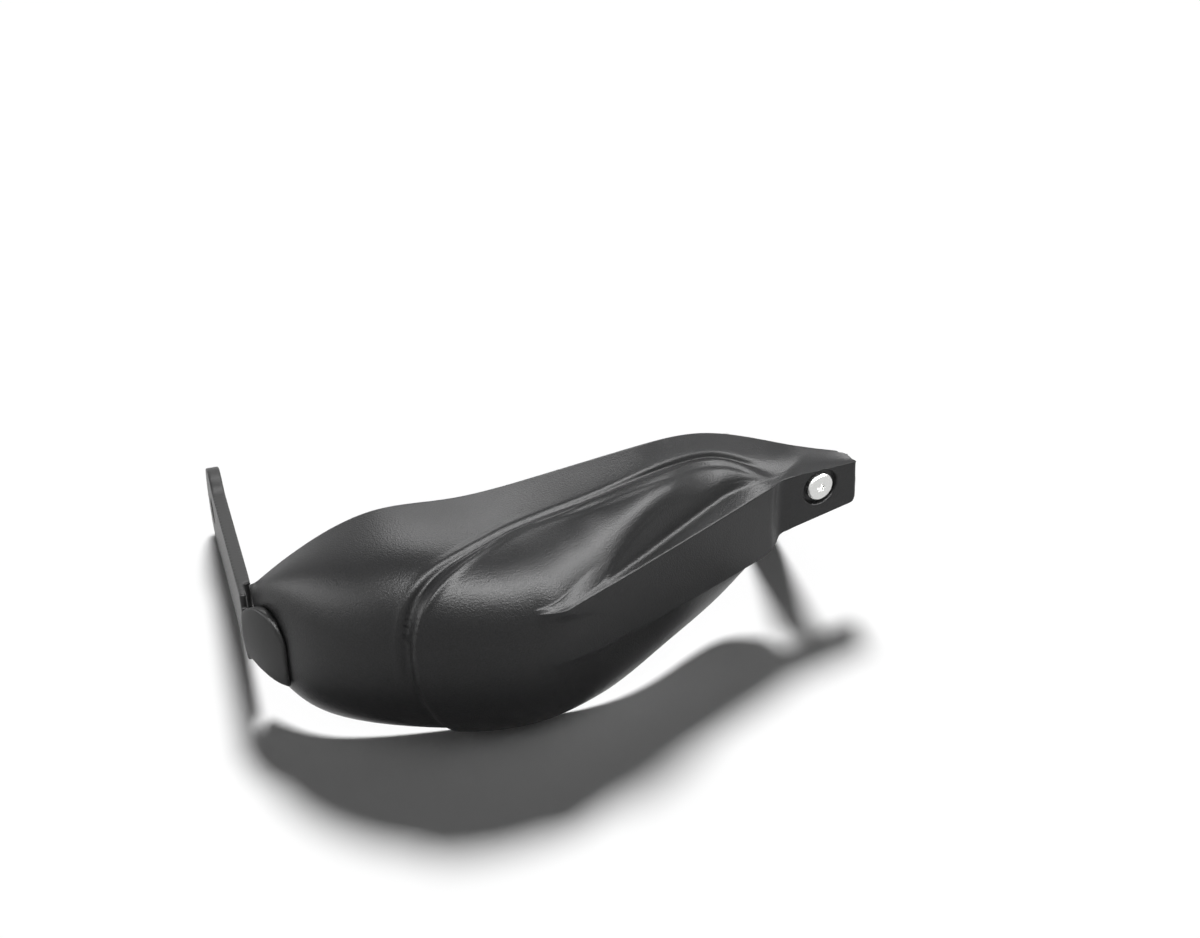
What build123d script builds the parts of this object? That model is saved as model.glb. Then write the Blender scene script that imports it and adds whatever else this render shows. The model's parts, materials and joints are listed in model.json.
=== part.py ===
from build123d import *
import math
import os

os.makedirs("parts", exist_ok=True)

# Right-hand motorcycle hand guard, lying as it rests on a bench. Millimetres.
# Origin: centre of the bar-end eye. X runs inboard along the handlebar, Y rearward, Z up.

# Moulded shell
WALL = 3.0
PANEL_LIFT = 2.4
PANEL_BITE = 0.8
VALLEY_LIFT = 0.6
VALLEY_HALF = 0.22
BLADE_PROUD = 2.0
BLADE_ANGLE = 27.7
BLADE_LENGTH = 137.0
BLADE_DEPTH = 5.0
BLADE_TOP_FAR = 48.8
BLADE_LOW_FAR = 23.2
BLADE_LOW_MID = 17.1
BLADE_LOW_NEAR = 15.2
BLADE_HEEL = 15.0
BLADE_END_R = 9.0
BLADE_EDGE_R = 0.8
TAB_ANGLE = 12.9
TAB_LENGTH = 43.5
TAB_THICK = 6.0
TAB_CORNER = 3.0
TAB_TIP_LOW = 25.6
TAB_ROOT_LOW = 20.5
TAB_TIP_SLANT = 2.5
END_TAPER = 0.85
NOTCH_X = 235.2
NOTCH_Y = -125.2
NOTCH_Z = 50.2

# Bar-end arm
EYE_OD = 42.0
EYE_BORE = 12.5
ARM_WIDTH = 32.0
ARM_DEPTH = 6.0
ARM_WEB = 3.0
ARM_RIM = 3.0
ARM_RISE = 9.0
NECK_RADIUS = 18.0
FOOT_THICK = 5.5
FOOT_NOSE = 1.6
FOOT_START = 112.0
FOOT_END = 122.5
FOOT_U0 = 8.06
FOOT_U1 = 7.42
FOOT_T = 0.02
FOOT_DROP = 0.25
FOOT_SPREAD = 0.4
SEAT_GAP = 0.1

# Clamp bracket, a bent strip with a welded threaded bush
STRIP_WIDTH = 17.0
STRIP_THICK = 3.5
STRIP_BEND = 14.0
STUD_X = 252.5
STUD_Y = -20.0
STUD_LEAN = 10.0
PLATE_RUN = 52.0
BUSH_OD = 14.0
BUSH_LENGTH = 20.0
BEAD_WIDTH = 8.0
BEAD_DEPTH = 1.5
BEAD_START = 24.0

# Fasteners
M6 = 6.0
M6_CLEAR = 0.6
M5 = 5.0
M5_CLEAR = 0.5
TAB_HEAD_D = 13.6
TAB_HEAD_H = 3.4
TAB_HEAD_BEVEL = 1.2
COUNTERBORE_D = 18.0
COUNTERBORE_DEPTH = 2.6
TAB_SCREW_GRIP = 16.0
SCREW_ALONG = 24.4
SCREW_Z = 39.8
ARM_HEAD_D = 9.5
ARM_HEAD_H = 2.7
ARM_SCREW_BITE = 3.4
ARM_SCREW_U = 7.74
ARM_SCREW_T = (-0.3, 0.1)
SPOT_FACE = 0.5
THREAD_GAP = 0.1
WASHER_D = 11.0
WASHER_T = 1.0
BOLT_HEAD_D = 10.5
BOLT_HEAD_H = 3.3
BOLT_SHANK_D = 5.4
STUD_SHOW = 12.5
STUD_RUNOUT = 0.5
STUD_BEVEL = 0.7
SPACER_AF = 13.0
SPACER_H = 8.0

FLOOR = -EYE_OD / 2

# Guide curves of the shell, nine stations from the tab tip round to the outboard end:
# the rear rim, the front line and the lower edge.
RIM = [(273, -112, 51), (246, -107, 58), (208, -111, 73.5), (168, -126, 83), (125, -127, 77.5),
       (87, -126, 73), (55, -123, 71), (26, -119, 56), (6, -119, 38)]
FRONT = [(276, -113.5, 41), (239, -123.5, 40), (201, -140, 37), (163, -160, 33), (133, -177, 29),
         (103, -188, 26), (63, -182, 24), (23, -157, 22), (2, -121, 19)]
LOWER = [(276, -113.5, 25.5), (241, -119, 18.5), (211, -127, -2), (175, -149, -8), (141, -164, -16),
         (105, -166, FLOOR + 0.5), (65, -160, FLOOR + 3.4), (25, -147, -12), (5, -121, -1)]
STATIONS = len(RIM) - 1


def guide(points):
    """Natural cubic curve through the points, one unit of u from each point to the next."""
    knots = [Vector(*p) for p in points]
    last = len(knots) - 1
    bend = [Vector(0, 0, 0)] * (last + 1)
    ratio = [0.0] * (last + 1)
    for i in range(1, last):
        pull = (knots[i - 1] - knots[i] * 2 + knots[i + 1]) * 6
        den = 4 - ratio[i - 1]
        ratio[i] = 1 / den
        bend[i] = (pull - bend[i - 1]) * (1 / den)
    for i in range(last - 1, 0, -1):
        bend[i] = bend[i] - bend[i + 1] * ratio[i]

    def at(u):
        i = min(max(int(math.floor(u)), 0), last - 1)
        b = u - i
        a = 1 - b
        curve = bend[i] * ((a**3 - a) / 6) + bend[i + 1] * ((b**3 - b) / 6)
        return knots[i] * a + knots[i + 1] * b + curve

    return at


rim_at = guide(RIM)
front_at = guide(FRONT)
lower_at = guide(LOWER)


def bezier(p, q, r, s, t):
    k = 1 - t
    return p * k**3 + q * (3 * k * k * t) + r * (3 * k * t * t) + s * t**3


def skin(u, t):
    """Outer face: t is 0 on the front line, 1 on the rear rim and -1 on the lower edge."""
    front = front_at(u)
    if t >= 0:
        end = rim_at(u)
        rise = end.Z - front.Z
        square = 1 - END_TAPER * max(0, u - STATIONS + 1) ** 4
        full = (min(max(u / STATIONS, 0), 1)) ** 2
        q = Vector(front.X, front.Y, front.Z + (0.33 + (0.47 + 0.45 * full) * square) * rise)
        r = end + (front - end) * (0.33 + (0.22 + 0.1 * full) * square)
        r = Vector(r.X, r.Y, end.Z - (0.33 - (0.13 + 0.45 * full) * square) * rise)
        return bezier(front, q, r, end, t)
    end = lower_at(u)
    fall = end.Z - front.Z
    q = Vector(front.X, front.Y, front.Z + 0.75 * fall)
    r = end + (front - end) * 0.45
    r = Vector(r.X, r.Y, end.Z - 0.1 * fall)
    return bezier(front, q, r, end, -t)


def outward(u, t):
    """Unit normal of the outer face, pointing out of the guard."""
    step = 0.01
    along = skin(u + step, t) - skin(u - step, t)
    up = skin(u, t + step) - skin(u, t - step)
    return up.cross(along).normalized()


def lifted(u, t, lift):
    return skin(u, t) + outward(u, t) * lift


def sheet(place, cells, lift):
    """Smooth face that follows the outer face at a height given by lift(u, t)."""
    rows = []
    for i in range(cells[0] + 1):
        row = []
        for j in range(cells[1] + 1):
            u, t = place(i / cells[0], j / cells[1])
            row.append(lifted(u, t, lift(u, t)))
        rows.append(row)
    return Face.make_surface_from_array_of_points(rows, tol=0.02, min_deg=3, max_deg=5)


def window(u0, u1, t0, t1):
    """Placing rule for a plain window of the outer face."""
    return lambda a, b: (u0 + (u1 - u0) * a, t0 + (t1 - t0) * b)


def slab(place, cells, top, bottom):
    """Solid between two lifted faces, its sides ruled from edge to edge."""
    outer = sheet(place, cells, top)
    inner = sheet(place, cells, bottom)
    faces = [outer, inner]
    for edge in outer.edges():
        below = inner.edges().sort_by_distance(edge.center())[0]
        faces.append(Face.make_surface_from_curves(edge, below))
    return Solid(Shell(faces))


def upright(x, y, angle):
    """Vertical plane through (x, y), facing forward and turned by the angle in plan."""
    turn = math.radians(angle)
    facing = (math.sin(turn), -math.cos(turn), 0)
    return Plane(origin=(x, y, 0), x_dir=(math.cos(turn), math.sin(turn), 0), z_dir=facing)


def rod(start, direction, length, diameter):
    """Cylinder from a point along a direction."""
    return extrude(Plane(origin=start, z_dir=direction) * Circle(diameter / 2), length)


# Shell: base wall, then the raised front panel inside its ridge line
base = slab(window(0, STATIONS, -1, 1), (40, 20), lambda u, t: 0, lambda u, t: -WALL)


def panel_height(u, t):
    """The panel stands off the base wall, with a valley above the blade that fades outboard."""
    valley_t = 0.12 + 0.35 * max(0, 2.6 - u) ** 2
    fade = min(max((4.9 - u) / 1.6, 0), 1)
    fade = fade * fade * (3 - 2 * fade)
    dip = fade * math.exp(-(((t - valley_t) / VALLEY_HALF) ** 2))
    low = max(0, -t) * 0.6
    return (PANEL_LIFT - (PANEL_LIFT - VALLEY_LIFT) * dip) * (1 - low)


ridge = Spline((NOTCH_X, NOTCH_Z), (216, 62.5), (195, 70.5), (164, 75), (123, 73), (91, 69.5),
               (70, 61), (59.5, 42), (60, 18), (69, -4), (83, FLOOR - 8))
panel_edge = ridge + Polyline(ridge @ 1, (NOTCH_X + 5, FLOOR - 8), (NOTCH_X + 5, NOTCH_Z), ridge @ 0)
panel_zone = extrude(Plane.XZ * make_face(panel_edge), 240)
panel = slab(window(0.9, 6.6, -0.97, 0.86), (36, 20), panel_height,
             lambda u, t: panel_height(u, t) - PANEL_LIFT - PANEL_BITE)
panel = panel & panel_zone

# Blade: the flat raised rib across the front panel
blade_plane = upright(NOTCH_X, NOTCH_Y, BLADE_ANGLE).offset(BLADE_PROUD)
blade_low = ThreePointArc((-BLADE_HEEL, BLADE_LOW_NEAR), (-75, BLADE_LOW_MID), (-BLADE_LENGTH, BLADE_LOW_FAR))
blade_edge = blade_low + Polyline(blade_low @ 1, (-BLADE_LENGTH, BLADE_TOP_FAR), (1, NOTCH_Z),
                                  (1, TAB_ROOT_LOW), blade_low @ 0)
blade_face = make_face(blade_edge)
blade_face = fillet(blade_face.vertices().sort_by(Axis.X)[:2], BLADE_END_R)
blade = extrude(blade_plane * blade_face, -BLADE_DEPTH)
blade = fillet(blade.faces().sort_by(Axis((0, 0, 0), blade_plane.z_dir))[-1].edges(), BLADE_EDGE_R)

# Tab with the counterbored screw hole
tab_plane = upright(NOTCH_X, NOTCH_Y, TAB_ANGLE)
tab_edge = Polyline((-1, NOTCH_Z - 0.4), (TAB_LENGTH - 1, NOTCH_Z + 0.4),
                    (TAB_LENGTH + TAB_TIP_SLANT, TAB_TIP_LOW), (0, TAB_ROOT_LOW), close=True)
tab_face = make_face(tab_edge)
tab_face = fillet(tab_face.vertices().sort_by(Axis.X)[-2:], TAB_CORNER)
tab = extrude(tab_plane * tab_face, -TAB_THICK)
screw_axis = tab_plane.z_dir
screw_face = tab_plane.from_local_coords((SCREW_ALONG, SCREW_Z, 0))

shell = base + panel + blade + tab
shell -= rod(screw_face, -screw_axis, COUNTERBORE_DEPTH, COUNTERBORE_D)
shell -= rod(screw_face, -screw_axis, 2 * TAB_THICK, M6 + M6_CLEAR)

# Outboard screws go from inside the shell into the foot of the arm
arm_seats = []
for t in ARM_SCREW_T:
    arm_seats.append((skin(ARM_SCREW_U, t), outward(ARM_SCREW_U, t)))
seat_depth = WALL - SPOT_FACE
for point, normal in arm_seats:
    shell -= rod(point + normal * 5, -normal, 5 + 2 * WALL, M5 + M5_CLEAR)
    shell -= rod(point - normal * seat_depth, -normal, 8, WASHER_D + 1)

# Bar-end arm: dished strap with an eye, and a foot shaped to the shell
arm_turn = math.radians(ARM_RISE)
arm_on = (0, -math.cos(arm_turn), math.sin(arm_turn))
arm_plane = Plane(origin=(ARM_DEPTH - ARM_WEB, 0, 0), x_dir=arm_on, z_dir=(-1, 0, 0))


def strap(length, inset):
    """Outline of eye and strap, drawn in by the inset."""
    eye = Circle(EYE_OD / 2 - inset)
    bar = Pos(length / 2, 0) * Rectangle(length, ARM_WIDTH - 2 * inset)
    both = eye + bar
    neck = both.vertices().sort_by(Axis.X)[:2]
    return fillet(neck, NECK_RADIUS)


arm = extrude(arm_plane * strap(FOOT_START, 0), ARM_DEPTH)
arm -= extrude(arm_plane * strap(FOOT_START - ARM_RIM, ARM_RIM), ARM_DEPTH - ARM_WEB)
tail = Pos((FOOT_START + FOOT_END) / 2 - 2, 0) * Rectangle(FOOT_END - FOOT_START + 4, ARM_WIDTH)
arm += extrude(arm_plane.offset(ARM_DEPTH - ARM_WEB) * tail, ARM_WEB)


def foot_place(a, b):
    """The foot leans down and narrows to a rounded nose toward the front of the guard."""
    half = math.sqrt(1 - (0.88 * a) ** 4)
    return FOOT_U0 + (FOOT_U1 - FOOT_U0) * a, FOOT_T - FOOT_DROP * a + FOOT_SPREAD * half * (2 * b - 1)


def foot_height(u, t):
    """The foot thins toward its nose."""
    a = (FOOT_U0 - u) / (FOOT_U0 - FOOT_U1)
    return SEAT_GAP + FOOT_THICK - (FOOT_THICK - FOOT_NOSE) * a**2


arm += slab(foot_place, (6, 6), foot_height, lambda u, t: SEAT_GAP)
arm -= extrude(arm_plane.offset(-10) * Circle(EYE_BORE / 2), 40)
for point, normal in arm_seats:
    arm -= rod(point - normal * 2, normal, 2 + SEAT_GAP + ARM_SCREW_BITE + 0.3, M5 + THREAD_GAP)

# Clamp bracket: strip bent up to a threaded bush behind the tab
lean = math.radians(STUD_LEAN)
plate_up = Vector(0, math.sin(lean), math.cos(lean))
plate_on = Vector(0, -math.cos(lean), math.sin(lean))
head_base = FLOOR + BOLT_HEAD_D / 2 * math.sin(lean)
stud_mid = Vector(STUD_X, STUD_Y, head_base + (BOLT_HEAD_H + STRIP_THICK / 2) * math.cos(lean))
bush_front = screw_face - screw_axis * TAB_THICK
bush_mid = bush_front - screw_axis * (BUSH_LENGTH * 0.7)
side = Plane(origin=(STUD_X, 0, 0), x_dir=(0, 1, 0), z_dir=(1, 0, 0))
strip_start = stud_mid - plate_on * (STRIP_WIDTH / 2)
strip_bend = stud_mid + plate_on * PLATE_RUN
strip_path = FilletPolyline((strip_start.Y, strip_start.Z), (strip_bend.Y, strip_bend.Z),
                            (bush_mid.Y, bush_mid.Z), radius=STRIP_BEND)
strip = extrude(side * trace(strip_path, STRIP_THICK), STRIP_WIDTH / 2, both=True)
plate_plane = Plane(origin=stud_mid, x_dir=(1, 0, 0), z_dir=plate_up)
square_end = Pos(0, STRIP_WIDTH) * Rectangle(2 * STRIP_WIDTH, 2 * STRIP_WIDTH) - Circle(STRIP_WIDTH / 2)
strip -= extrude(plate_plane * square_end, STRIP_THICK, both=True)

# Pressed bead: a round-bottomed groove along the upper face of the strip, run round the bend
bead_r = (BEAD_WIDTH / 2) ** 2 / (2 * BEAD_DEPTH) + BEAD_DEPTH / 2


def bead(height):
    """Round bar that cuts the groove, its centre line at a height over the strip's middle."""
    line = offset_path(height)
    return sweep(Plane(origin=line @ 0, z_dir=line % 0) * Circle(bead_r), path=line)


def offset_path(height):
    """Line of the strip from the bead's start, through the bend, and a little up the rise."""
    start = stud_mid + plate_on * BEAD_START + plate_up * height
    rise_on = (bush_mid - strip_bend)
    rise_on = Vector(0, rise_on.Y, rise_on.Z).normalized()
    rise_up = Vector(0, rise_on.Z, -rise_on.Y)
    knee = plate_on.get_angle(rise_on)
    corner = strip_bend + (plate_up + rise_up) * (height / (1 + math.cos(math.radians(knee))))
    finish = corner + rise_on * (STRIP_BEND + 8)
    points = [(p.Y, p.Z) for p in (start, corner, finish)]
    return side * FilletPolyline(*points, radius=STRIP_BEND - height)


bead_top = STRIP_THICK / 2 - BEAD_DEPTH + bead_r
strip -= bead(bead_top)
bush = rod(bush_front, -screw_axis, BUSH_LENGTH, BUSH_OD)
bracket = strip + bush
bracket -= rod(bush_front, -screw_axis, BUSH_LENGTH - 2, M6 + THREAD_GAP)
bracket -= rod(stud_mid - plate_up * 10, plate_up, 20, M6 + M6_CLEAR)

# Fasteners
head_seat = screw_face - screw_axis * COUNTERBORE_DEPTH
tab_screw = rod(head_seat, screw_axis, TAB_HEAD_H, TAB_HEAD_D)
head_rim = tab_screw.edges().filter_by(GeomType.CIRCLE).sort_by(Axis((0, 0, 0), screw_axis))[-1]
tab_screw = chamfer(head_rim, TAB_HEAD_BEVEL)
tab_screw += rod(head_seat, -screw_axis, TAB_THICK - COUNTERBORE_DEPTH + TAB_SCREW_GRIP, M6)
tab_screw -= rod(head_seat + screw_axis * TAB_HEAD_H, -screw_axis, 2, M6 * 0.6)

arm_screws = []
arm_washers = []
for point, normal in arm_seats:
    seat = point - normal * seat_depth
    washer = rod(seat, -normal, WASHER_T, WASHER_D) - rod(seat, -normal, WASHER_T, M5 + M5_CLEAR)
    arm_washers.append(washer)
    under = seat - normal * WASHER_T
    screw = rod(under, -normal, ARM_HEAD_H, ARM_HEAD_D)
    screw += rod(under, normal, WASHER_T + seat_depth + SEAT_GAP + ARM_SCREW_BITE, M5)
    arm_screws.append(screw)

plate_top = stud_mid + plate_up * (STRIP_THICK / 2)
plate_under = stud_mid - plate_up * (STRIP_THICK / 2)
bolt = rod(plate_under, -plate_up, BOLT_HEAD_H, BOLT_HEAD_D)
bolt += rod(plate_under, plate_up, STRIP_THICK + SPACER_H + STUD_RUNOUT, BOLT_SHANK_D)
stud_base = plate_under + plate_up * (STRIP_THICK + SPACER_H + STUD_RUNOUT)
bolt += rod(stud_base, plate_up, STUD_SHOW - STUD_RUNOUT, M6)
tip_edge = bolt.edges().filter_by(GeomType.CIRCLE).sort_by(Axis((0, 0, 0), plate_up))[-1]
bolt = chamfer(tip_edge, STUD_BEVEL)
spacer_plane = Plane(origin=plate_top, x_dir=(1, 0, 0), z_dir=plate_up)
spacer = extrude(spacer_plane * RegularPolygon(SPACER_AF / 2, 6, major_radius=False), SPACER_H)
spacer -= rod(plate_top, plate_up, SPACER_H, M6 + M6_CLEAR)

pieces = {
    "guard_shell": [shell],
    "bar_end_arm": [arm],
    "clamp_bracket": [bracket],
    "tab_screw": [tab_screw],
    "arm_screws": arm_screws,
    "arm_washers": arm_washers,
    "clamp_bolt": [bolt],
    "clamp_spacer": [spacer],
}
for name, shapes in pieces.items():
    solids = []
    for shape in shapes:
        solids.extend(shape.solids())
    whole = solids[0] if len(solids) == 1 else Compound(children=solids)
    export_step(whole, "parts/" + name + ".step")
    box = whole.bounding_box()
    print(name, len(solids), round(sum(s.volume for s in solids)), box.min, box.max)
print("stud", stud_base + plate_up * ((STUD_SHOW - STUD_RUNOUT - STUD_BEVEL) / 2), plate_up)
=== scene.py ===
import json
import math

import bmesh
import bpy
import numpy as np
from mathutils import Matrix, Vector


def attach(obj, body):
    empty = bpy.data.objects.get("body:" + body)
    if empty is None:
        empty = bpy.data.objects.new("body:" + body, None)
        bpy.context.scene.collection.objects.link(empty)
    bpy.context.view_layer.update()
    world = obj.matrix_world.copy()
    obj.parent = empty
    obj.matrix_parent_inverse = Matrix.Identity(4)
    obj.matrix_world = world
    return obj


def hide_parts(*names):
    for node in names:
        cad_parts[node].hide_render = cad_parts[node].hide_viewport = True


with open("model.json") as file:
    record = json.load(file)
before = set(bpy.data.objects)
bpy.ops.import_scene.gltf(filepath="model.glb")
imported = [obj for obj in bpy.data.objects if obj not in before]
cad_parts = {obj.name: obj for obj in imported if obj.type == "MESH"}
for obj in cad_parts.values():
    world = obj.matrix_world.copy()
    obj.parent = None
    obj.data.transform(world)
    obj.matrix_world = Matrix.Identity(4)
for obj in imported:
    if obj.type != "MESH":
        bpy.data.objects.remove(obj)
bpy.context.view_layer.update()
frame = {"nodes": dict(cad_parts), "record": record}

# Guard shell
# One injection moulding in black plastic, open at the back, with a fine spark-eroded grain from its mould.
# A raised front panel carries a flat blade, and the narrow end turns into a thick tab for the clamp screw.
MM = 0.001
FLOOR = -21.0
RIM = [(273, -112, 51), (246, -107, 58), (208, -111, 73.5), (168, -126, 83), (125, -127, 77.5),
       (87, -126, 73), (55, -123, 71), (26, -119, 56), (1.6, -118.6, 38)]
FRONT = [(276, -113.5, 41), (239, -123.5, 40), (201, -140, 37), (163, -160, 33), (133, -177, 29),
         (103, -188, 26), (63, -182, 24), (23, -157, 22), (2, -121, 19)]
LOWER = [(276, -113.5, 25.5), (241, -119, 18.5), (211, -127, -2), (175, -149, -8), (141, -164, -16),
         (105, -166, FLOOR + 0.5), (65, -160, FLOOR + 3.4), (25, -147, -12), (5, -121, -1)]
STATIONS = len(RIM) - 1
END_TAPER = 0.85
# Handles of each section's curves, as shares of its height and depth: a straight third and what is added
STRAIGHT = 0.33
FRONT_HANDLE = 0.47
RIM_HANDLE_IN = 0.22
RIM_HANDLE_UP = 0.13
FULLER_UP = 0.45
FULLER_IN = 0.1
LOW_FRONT_HANDLE = 0.75
LOW_EDGE_IN = 0.45
LOW_EDGE_UP = 0.1


def guide(points):
    """Natural cubic curve through the points, one unit of u from each point to the next."""
    knots = np.array(points, float)
    last = len(knots) - 1
    system = np.eye(last + 1)
    pull = np.zeros_like(knots)
    for i in range(1, last):
        system[i, i - 1:i + 2] = 1, 4, 1
        pull[i] = 6 * (knots[i - 1] - 2 * knots[i] + knots[i + 1])
    bend = np.linalg.solve(system, pull)

    def at(u):
        i = np.clip(np.floor(u).astype(int), 0, last - 1)
        b = (u - i)[..., None]
        a = 1 - b
        curve = (a**3 - a) * bend[i] + (b**3 - b) * bend[i + 1]
        return knots[i] * a + knots[i + 1] * b + curve / 6

    return at


def line(points):
    """Smooth line through pairs of place and value."""
    places, values = np.array(points, float).T
    slopes = np.gradient(values, places)

    def at(u):
        u = np.clip(u, places[0], places[-1])
        i = np.clip(np.searchsorted(places, u) - 1, 0, len(places) - 2)
        span = places[i + 1] - places[i]
        x = (u - places[i]) / span
        start = values[i] * (1 + 2 * x) * (1 - x) ** 2 + slopes[i] * span * x * (1 - x) ** 2
        end = values[i + 1] * (3 - 2 * x) * x**2 - slopes[i + 1] * span * (1 - x) * x**2
        return start + end

    return at


def ease(x):
    """Smooth rise from 0 to 1."""
    x = np.clip(x, 0, 1)
    return x * x * (3 - 2 * x)


rim_at = guide(RIM)
front_at = guide(FRONT)
lower_at = guide(LOWER)


def bezier(p, q, r, s, t):
    """Cubic curve from p to s with the handles q and r."""
    t = t[..., None]
    k = 1 - t
    return p * k**3 + q * 3 * k * k * t + r * 3 * k * t * t + s * t**3


def skin(u, t):
    """Plain outer face: t is 0 on the front line, 1 on the rear rim and -1 on the lower edge."""
    front = front_at(u)
    rim = rim_at(u)
    low = lower_at(u)
    full = np.clip(u / STATIONS, 0, 1) ** 2
    square = 1 - END_TAPER * np.maximum(0, u - STATIONS + 1) ** 4
    rise = rim[..., 2] - front[..., 2]
    q = front.copy()
    q[..., 2] += (STRAIGHT + (FRONT_HANDLE + FULLER_UP * full) * square) * rise
    r = rim + (front - rim) * (STRAIGHT + (RIM_HANDLE_IN + FULLER_IN * full) * square)[..., None]
    r[..., 2] = rim[..., 2] - (STRAIGHT - (RIM_HANDLE_UP + FULLER_UP * full) * square) * rise
    upper = bezier(front, q, r, rim, np.maximum(t, 0))
    fall = low[..., 2] - front[..., 2]
    q = front.copy()
    q[..., 2] += LOW_FRONT_HANDLE * fall
    r = low + (front - low) * LOW_EDGE_IN
    r[..., 2] = low[..., 2] - LOW_EDGE_UP * fall
    lower = bezier(front, q, r, low, np.maximum(-t, 0))
    return np.where((t >= 0)[..., None], upper, lower)


def unit(v):
    """Same directions with a length of 1."""
    return v / np.maximum(np.linalg.norm(v, axis=-1, keepdims=True), 1e-9)


def outward(u, t):
    """Unit normal of the plain outer face, pointing out of the guard."""
    step = 0.01
    along = skin(u + step, t) - skin(u - step, t)
    up = skin(u, t + step) - skin(u, t - step)
    return unit(np.cross(up, along))


# The blade is a flat band that runs outboard from the notch at the tab's root
NOTCH = np.array([235.2, -125.2, 50.2])
BLADE_ANGLE = math.radians(27.7)
BLADE_LENGTH = 137.0
BLADE_TOP_FAR = 48.8
BLADE_LOW_FAR = 23.2
BLADE_LOW_NEAR = 15.2
BLADE_HEEL = 15.0


def blade_run(x):
    """Distance along the blade from the notch, outboard positive."""
    return (NOTCH[0] - x) / math.cos(BLADE_ANGLE)


def blade_top(x):
    """Height of the blade's upper edge."""
    return NOTCH[2] + (BLADE_TOP_FAR - NOTCH[2]) * np.maximum(blade_run(x), 0) / BLADE_LENGTH


def blade_low(x):
    """Height of the blade's lower edge, level at the heel and rising outboard."""
    past_heel = np.maximum(blade_run(x) - BLADE_HEEL, 0) / (BLADE_LENGTH - BLADE_HEEL)
    return BLADE_LOW_NEAR + (BLADE_LOW_FAR - BLADE_LOW_NEAR) * past_heel**2


def row_at_height(u, height, rows):
    """Share t at which the plain face reaches the height, for each station."""
    halvings = 40
    a = np.full_like(u, rows[0])
    b = np.full_like(u, rows[1])
    for _ in range(halvings):
        middle = (a + b) / 2
        point = skin(u, middle)
        under = point[..., 2] < height(point[..., 0])
        a = np.where(under, middle, a)
        b = np.where(under, b, middle)
    return (a + b) / 2


# Grid of stations and rows; the rows follow the edges of the blade, the valley and the ridge
COLUMNS = 340
BAND_ROWS = (28, 32, 20, 42, 54)
END_GAP = 0.015
T_EDGE = 0.974
ROW_GAP = 0.02
BLADE_LOW_ROWS = (-0.93, -0.02)
BLADE_TOP_ROWS = (0.02, 0.4)
VALLEY_ROW = [(0.0, 0.40), (0.8, 0.32), (1.14, 0.27), (1.40, 0.36), (1.66, 0.38), (1.95, 0.31), (2.43, 0.20),
              (3.10, 0.14), (3.91, 0.15), (4.55, 0.16), (5.5, 0.24), (6.5, 0.3), (8.0, 0.35)]
RIDGE_ROW = [(0.0, 0.62), (0.8, 0.42), (1.12, 0.30), (1.40, 0.45), (1.69, 0.60), (1.98, 0.67), (2.74, 0.63),
             (3.53, 0.64), (4.19, 0.68), (4.70, 0.67), (5.19, 0.60), (5.7, 0.54), (6.5, 0.55), (8.0, 0.6)]
TAB_CORNER_U = 0.1
TAB_CORNER_T = 0.16
TAB_CORNER_LOW = 0.4
TAB_OVERHANG = 0.02
TAB_SLANT = 0.035
RIM_REACH = 0.15
RIM_REACH_FROM = 0.25
RIM_REACH_OVER = 0.6
stations = np.linspace(END_GAP, STATIONS - END_GAP, COLUMNS + 1)
key_rows = np.stack([
    np.full_like(stations, -T_EDGE),
    row_at_height(stations, blade_low, BLADE_LOW_ROWS),
    row_at_height(stations, blade_top, BLADE_TOP_ROWS),
    line(VALLEY_ROW)(stations),
    line(RIDGE_ROW)(stations),
    np.full_like(stations, T_EDGE),
])
# The valley and the ridge stay above the row under them
for k in range(3, 5):
    key_rows[k] = np.maximum(key_rows[k], key_rows[k - 1] + ROW_GAP)
# Rows stand closer together at both edges of the blade and of the crease above it
row_shares = []
row_bands = []
for k, count in enumerate(BAND_ROWS):
    share = np.arange(count) / count
    if k in (1, 2):
        share = 0.5 - 0.5 * np.cos(np.pi * share)
    row_shares.extend(share)
    row_bands.extend([k] * count)
row_shares.append(1.0)
row_bands.append(len(BAND_ROWS) - 1)
row_shares = np.array(row_shares)
row_bands = np.array(row_bands)
T = key_rows[row_bands].T * (1 - row_shares) + key_rows[row_bands + 1].T * row_shares
U = np.repeat(stations[:, None], T.shape[1], 1)
corner_t = np.where(T < 0, TAB_CORNER_LOW, TAB_CORNER_T)
corner = np.clip((np.abs(T) - (T_EDGE - corner_t)) / corner_t, 0, 1)
tip_shift = TAB_CORNER_U * (1 - np.sqrt(1 - corner**2)) - TAB_OVERHANG - TAB_SLANT * (1 - T)
tip_shift = tip_shift - RIM_REACH * ease((T - RIM_REACH_FROM) / RIM_REACH_OVER)
U = U + tip_shift * np.clip(1 - U, 0, 1) ** 2
plain = skin(U, T)
normal = outward(U, T)

# The ridge bounds the raised panel; it runs in stations and shares of height
RIDGE = [(1.12, 0.28), (1.40, 0.45), (1.69, 0.60), (1.98, 0.67), (2.74, 0.63), (3.53, 0.64), (4.19, 0.68),
         (4.70, 0.67), (5.19, 0.59), (5.53, 0.50), (5.78, 0.41), (6.00, 0.29), (6.10, 0.15), (6.11, 0.02),
         (6.03, -0.15), (5.90, -0.36), (5.70, -0.70), (5.52, -1.10)]
RIDGE_POINTS = 140
RIDGE_SOFTENING = 12
RIDGE_LOWEST = -1.1
PANEL_END = [(1.0, -1.2), (1.0, 0.1)]
ridge_uv = np.array(RIDGE)
ridge_ways = np.linspace(0, 1, RIDGE_POINTS)
knot_ways = np.linspace(0, 1, len(ridge_uv))
ridge_fine = np.stack([np.interp(ridge_ways, knot_ways, ridge_uv[:, k]) for k in range(2)], 1)
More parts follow.
